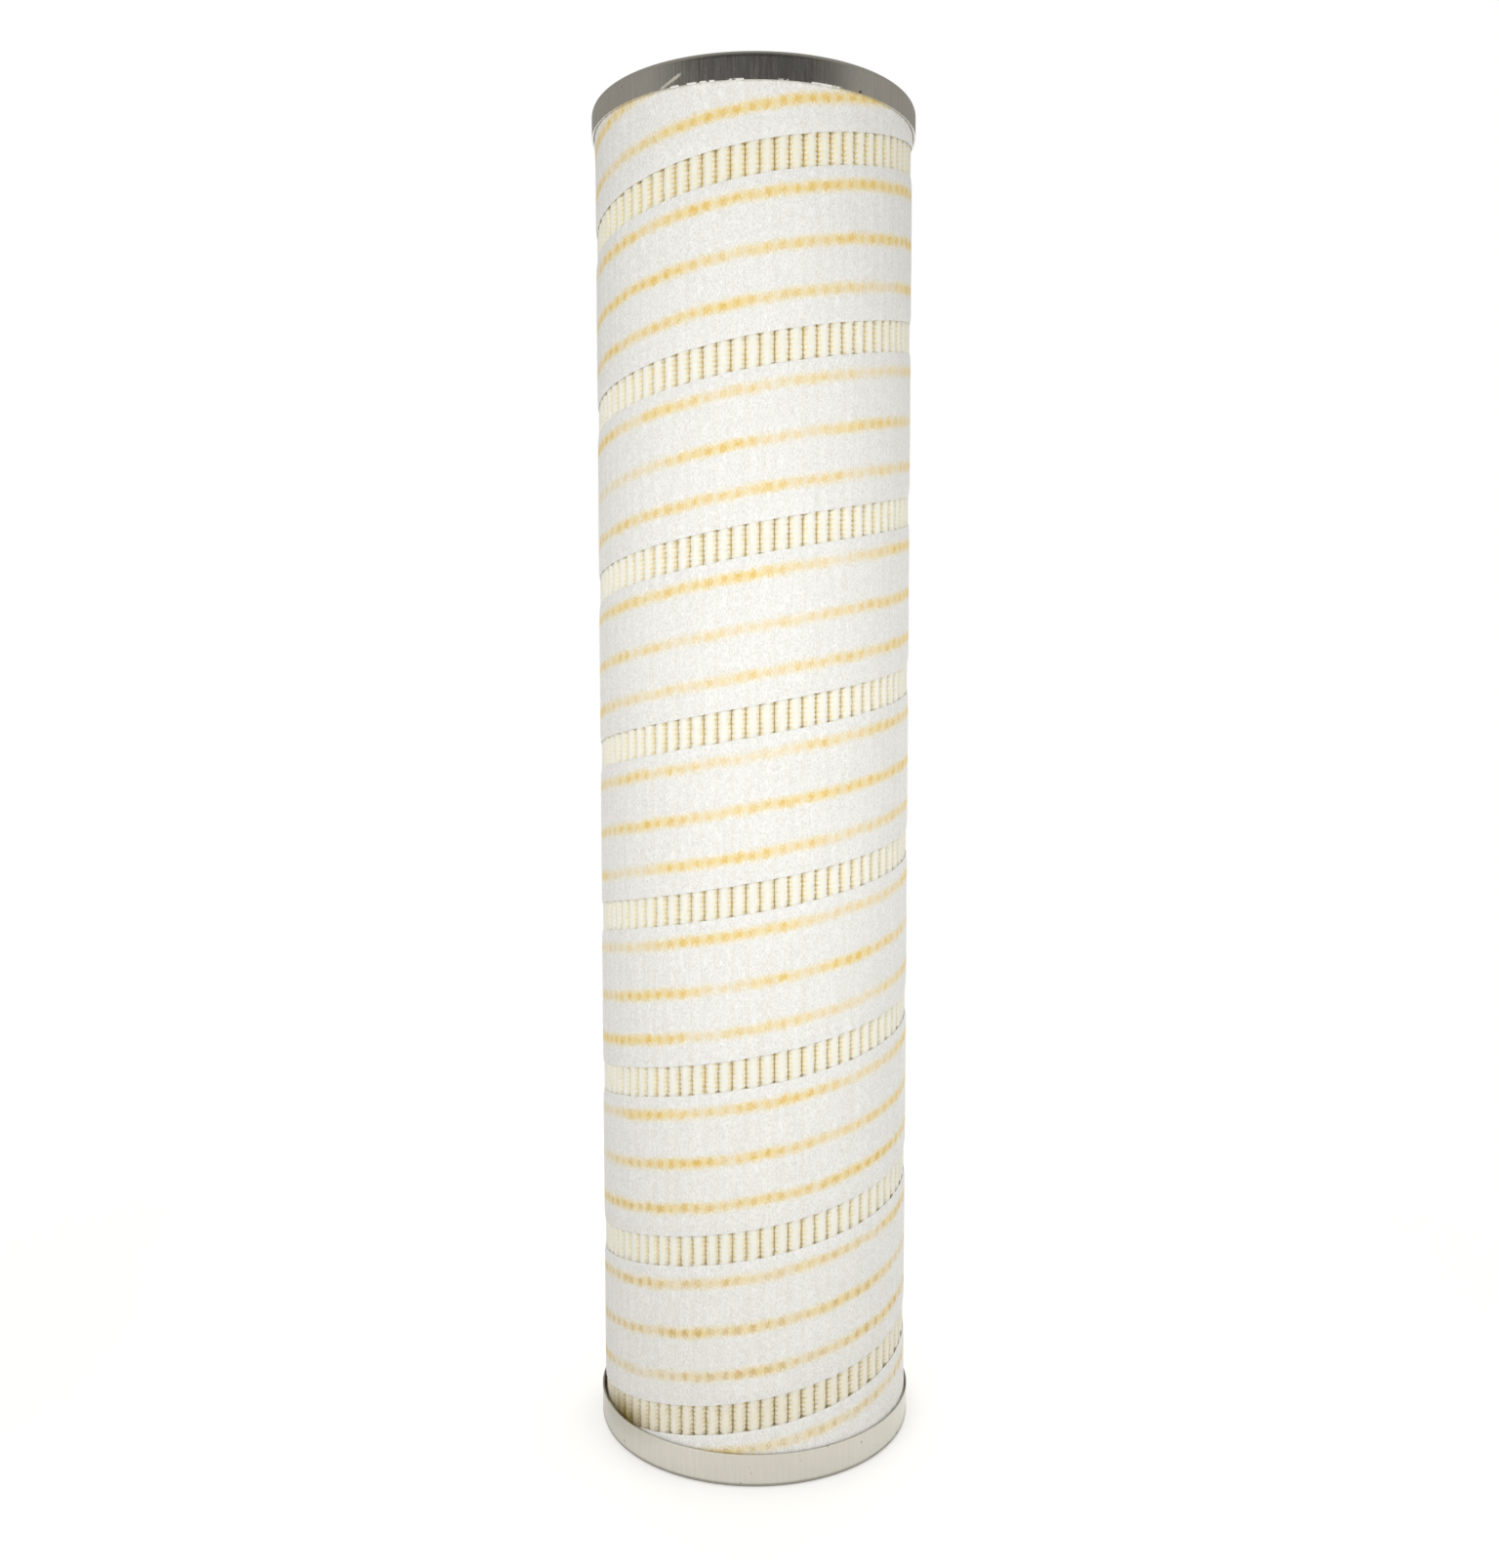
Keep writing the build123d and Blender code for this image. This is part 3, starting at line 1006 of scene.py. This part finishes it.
# The mesh beads: their own white, with a painted highlight
tone = mix_colour(tree, times(tree, mesh_value(tree, "mesh_bead_glint"), 0.95), tone, mesh_and_glint_tone)
tone = mix_colour(tree, times(tree, weave["Threads"], 0.3), tone, thread_tone)
patchy = map_range(tree, weave["Mottle"], 0.1, 0.45)
tone = mix_colour(tree, times(tree, mesh_value(tree, "resin_stain"), patchy), tone, stain_tone)
rough = map_range(tree, weave["Threads"], 0.0, 1.0, 0.75, 0.4)
fuzz = math_node(tree, "ADD", weave["Threads"], weave["Mottle"])
fuzzy = bumped(tree, fuzz, 0.4, 0.1 * MM)
fill(tree, shader, {"Base Color": tone, "Roughness": rough, "Normal": fuzzy})
fill(tree, shader, {"Subsurface Weight": 0.7, "Subsurface Radius": (1.0, 1.0, 1.0)})
fill(tree, shader, {"Subsurface Scale": 0.7 * MM, "Specular IOR Level": 0.4})
print("pleated media:", len(tree.nodes), "nodes")

# %% Make the pleats and mark their folds, bead glints and stain
pleats = mesh_piece("pleats", points, faces, media)
add_map(pleats.data, [corner for corners in face_map for corner in corners])
stain_bearing = FRONT - math.radians(57)
stain_spread = math.radians(13)
stain_height = 4.0 * MM
place_array = np.array(points)
bearing = np.arctan2(place_array[:, 1], place_array[:, 0])
turn_off = np.angle(np.exp(1j * (bearing - stain_bearing)))
above_skirt = np.maximum(place_array[:, 2] - lower_skirt_top, 0)
stain_level = np.exp(-((turn_off / stain_spread) ** 2) - (above_skirt / stain_height) ** 2)
levels = {"fold_depth": np.array(depths) / MM, "mesh_bead_glint": bead_glint_marks, "resin_stain": stain_level}
for label, level in levels.items():
    layer = pleats.data.attributes.new(label, "FLOAT", "POINT")
    layer.data.foreach_set("value", np.asarray(level, np.float32))

# %% Close the pleats' mesh and stand it in place
# Merge the rows that coincide at the pack's ends, turn all faces outwards, and count open edges
shape = bmesh.new()
shape.from_mesh(pleats.data)
bmesh.ops.remove_doubles(shape, verts=shape.verts, dist=same_place)
bmesh.ops.recalc_face_normals(shape, faces=shape.faces)
open_edges = sum(1 for edge in shape.edges if len(edge.link_faces) != 2)
shape.to_mesh(pleats.data)
shape.free()
pleats.data.shade_smooth()
pleats.data.set_sharp_from_angle(angle=math.radians(60))
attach(pleats, "root")
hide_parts("pleat_pack")
print("pleats:", len(pleats.data.polygons), "faces,", open_edges, "open edges")

# %% [markdown]
# ## The metal
#
# Both caps are pressed from tin-plated sheet, a soft mirror with a fine grain drawn up the skirt,
# faint clouds in the plating and a few dark pits. The upper cap is brushed, has one long scratch
# at its front left, where a tool slipped, and has a painted highlight along the cut edge of its
# skirt. The lower cap is smoother. The same grain, a little rougher, serves the plated core tube
# and the seal retainers.

# %% Build the sheet-metal grain
grain, grain_in, grain_out = new_group(
    "sheet_grain",
    [("Vector", VECTOR, None), ("Fineness", FLOAT, 2200.0)],
    [("Streaks", FLOAT), ("Clouds", FLOAT), ("Pits", FLOAT)],
)
upright = stretched(grain, grain_in.outputs["Vector"], 0.05)
streaks = noise(grain, upright, grain_in.outputs["Fineness"], 3.0, 0.65)
clouds = noise(grain, grain_in.outputs["Vector"], 70.0, 2.0, 0.5)
pits = noise(grain, grain_in.outputs["Vector"], 760.0, 1.0, 0.4, shift=0.4)
pits = map_range(grain, pits, 0.755, 0.81)
fill(grain, grain_out, dict(Streaks=streaks, Clouds=clouds, Pits=pits))
print("sheet grain:", len(grain.nodes), "nodes")

# %% Build the scratch and the painted highlight on the cut edge
def scratch_mask(tree, start, end, width):
    """A mask of one straight scratch between two places given in X and Z, on the front only."""
    place = object_place(tree)
    axes = split_axes(tree, place)
    length = math.dist(start, end)
    run, rise = (end[0] - start[0]) / length, (end[1] - start[1]) / length
    from_x = math_node(tree, "SUBTRACT", axes["X"], start[0])
    from_z = math_node(tree, "SUBTRACT", axes["Z"], start[1])
    along = math_node(tree, "ADD", times(tree, from_x, run), times(tree, from_z, rise))
    aside = math_node(tree, "SUBTRACT", times(tree, from_z, run), times(tree, from_x, rise))
    rough_edge = math_node(tree, "SUBTRACT", noise(tree, place, 2500.0, 2.0), 0.5)
    aside = math_node(tree, "ADD", aside, times(tree, rough_edge, width))
    narrow = map_range(tree, math_node(tree, "ABSOLUTE", aside), width, width * 0.2)
    begun = map_range(tree, along, -width, width)
    not_over = map_range(tree, along, length + width, length - 2 * width)
    in_front = map_range(tree, axes["Y"], 0.0, -0.001)
    return times(tree, times(tree, narrow, times(tree, begun, not_over)), in_front)


def painted_edge_glint(tree, edge_height, edge_width):
    """A broken line of painted highlight along the sheet's cut edge, on the front only."""
    place = object_place(tree)
    axes = split_axes(tree, place)
    low = map_range(tree, axes["Z"], edge_height + edge_width, edge_height + 0.4 * edge_width)
    broken = map_range(tree, noise(tree, place, 420.0, 2.0), 0.50, 0.58)
    in_front = map_range(tree, axes["Y"], -0.030, -0.035)
    return times(tree, times(tree, low, broken), in_front)

# %% Finish the metal
pit_tone = colour(122, 114, 99)
scratch_tone = colour(226, 220, 206)
edge_glint_tone = colour(246, 245, 241)
fine_grain = 0.015 * MM


def metal(name, tint, bright, roughness, streaking, dent, scratch=None, edge=None):
    """A drawn sheet metal: two tones, how rough, how strongly streaked and how uneven it is."""
    material, tree, shader = new_material(name)
    marks = place_group(tree, grain, Vector=object_place(tree), Fineness=2200.0)
    spread = 0.2 / streaking
    streak = map_range(tree, marks["Streaks"], 0.5 - spread, 0.5 + spread)
    tone = mix_colour(tree, streak, tint, bright)
    tone = mix_colour(tree, map_range(tree, marks["Clouds"], 0.35, 0.65, 0.0, 0.25), tone, tint)
    tone = mix_colour(tree, marks["Pits"], tone, pit_tone)
    rough = math_node(tree, "ADD", roughness * 0.8, times(tree, streak, roughness * 0.4))
    fill(tree, shader, {"Metallic": 1.0})
    if scratch is not None:
        mark = scratch_mask(tree, *scratch)
        tone = mix_colour(tree, mark, tone, scratch_tone)
        rough = math_node(tree, "ADD", rough, times(tree, mark, 0.55))
    # A painted highlight along a cut edge: near white and not metallic
    if edge is not None:
        edge_glint = painted_edge_glint(tree, *edge)
        tone = mix_colour(tree, edge_glint, tone, edge_glint_tone)
        fill(tree, shader, {"Metallic": math_node(tree, "SUBTRACT", 1.0, edge_glint)})
    uneven = bumped(tree, marks["Clouds"], 0.6, dent)
    drawn = bumped(tree, marks["Streaks"], min(1.0, 0.25 * streaking), fine_grain, uneven)
    fill(tree, shader, {"Base Color": tone, "Roughness": rough, "Normal": drawn})
    return material


def dress(node, material):
    """Give a CAD node its finish."""
    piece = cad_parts[node]
    piece.data.materials.clear()
    piece.data.materials.append(material)


scratch_start = (-20.0 * MM, upper_skirt_foot + 0.2 * MM)
scratch_end = (-15.6 * MM, upper_skirt_foot + 2.5 * MM)
# The upper cap has a painted highlight along its skirt's cut edge
brushed_tin = metal(
    "brushed_tinplate", colour(220, 216, 207), colour(236, 233, 225),
    roughness=0.25, streaking=0.5, dent=0.08 * MM,
    scratch=(scratch_start, scratch_end, 0.45 * MM), edge=(upper_skirt_foot, 0.4 * MM),
)
smooth_tin = metal(
    "smooth_tinplate", colour(199, 196, 186), colour(212, 209, 200),
    roughness=0.2, streaking=0.4, dent=0.10 * MM,
)
plated_steel = metal(
    "plated_steel", colour(176, 176, 172), colour(206, 205, 198),
    roughness=0.35, streaking=1.0, dent=0.05 * MM,
)
dress("top_end_cap", brushed_tin)
dress("bottom_end_cap", smooth_tin)
for node in ("core_tube", "top_seal_retainer", "bottom_seal_retainer"):
    dress(node, plated_steel)
print("metals:", brushed_tin.name, smooth_tin.name, plated_steel.name)

# %% [markdown]
# ## Rubber and resin
#
# The seals are matt black nitrile rubber with a dusty bloom. The potting is amber epoxy, cloudy
# where it cured slowly, and the side seam is the same glue as the beads. All three use the
# clouded finish made for the glue, each with its own size of cloud.

# %% Finish the seals and the potting
rubber = clouded(
    "nitrile_rubber", (300.0, 4.0, 0.7), colour(30, 30, 31), colour(62, 61, 60),
    (0.5, 0.75), tone_range=(0.4, 0.75),
)
resin = clouded(
    "potting_resin", (160.0, 4.0, 0.6), colour(168, 132, 62), colour(206, 176, 108), (0.12, 0.3)
)
for node in ("top_bore_seal", "bottom_bore_seal"):
    dress(node, rubber)
for node in ("top_potting", "bottom_potting"):
    dress(node, resin)
dress("side_seam", amber)
print("seals:", rubber.name, "- potting:", resin.name)
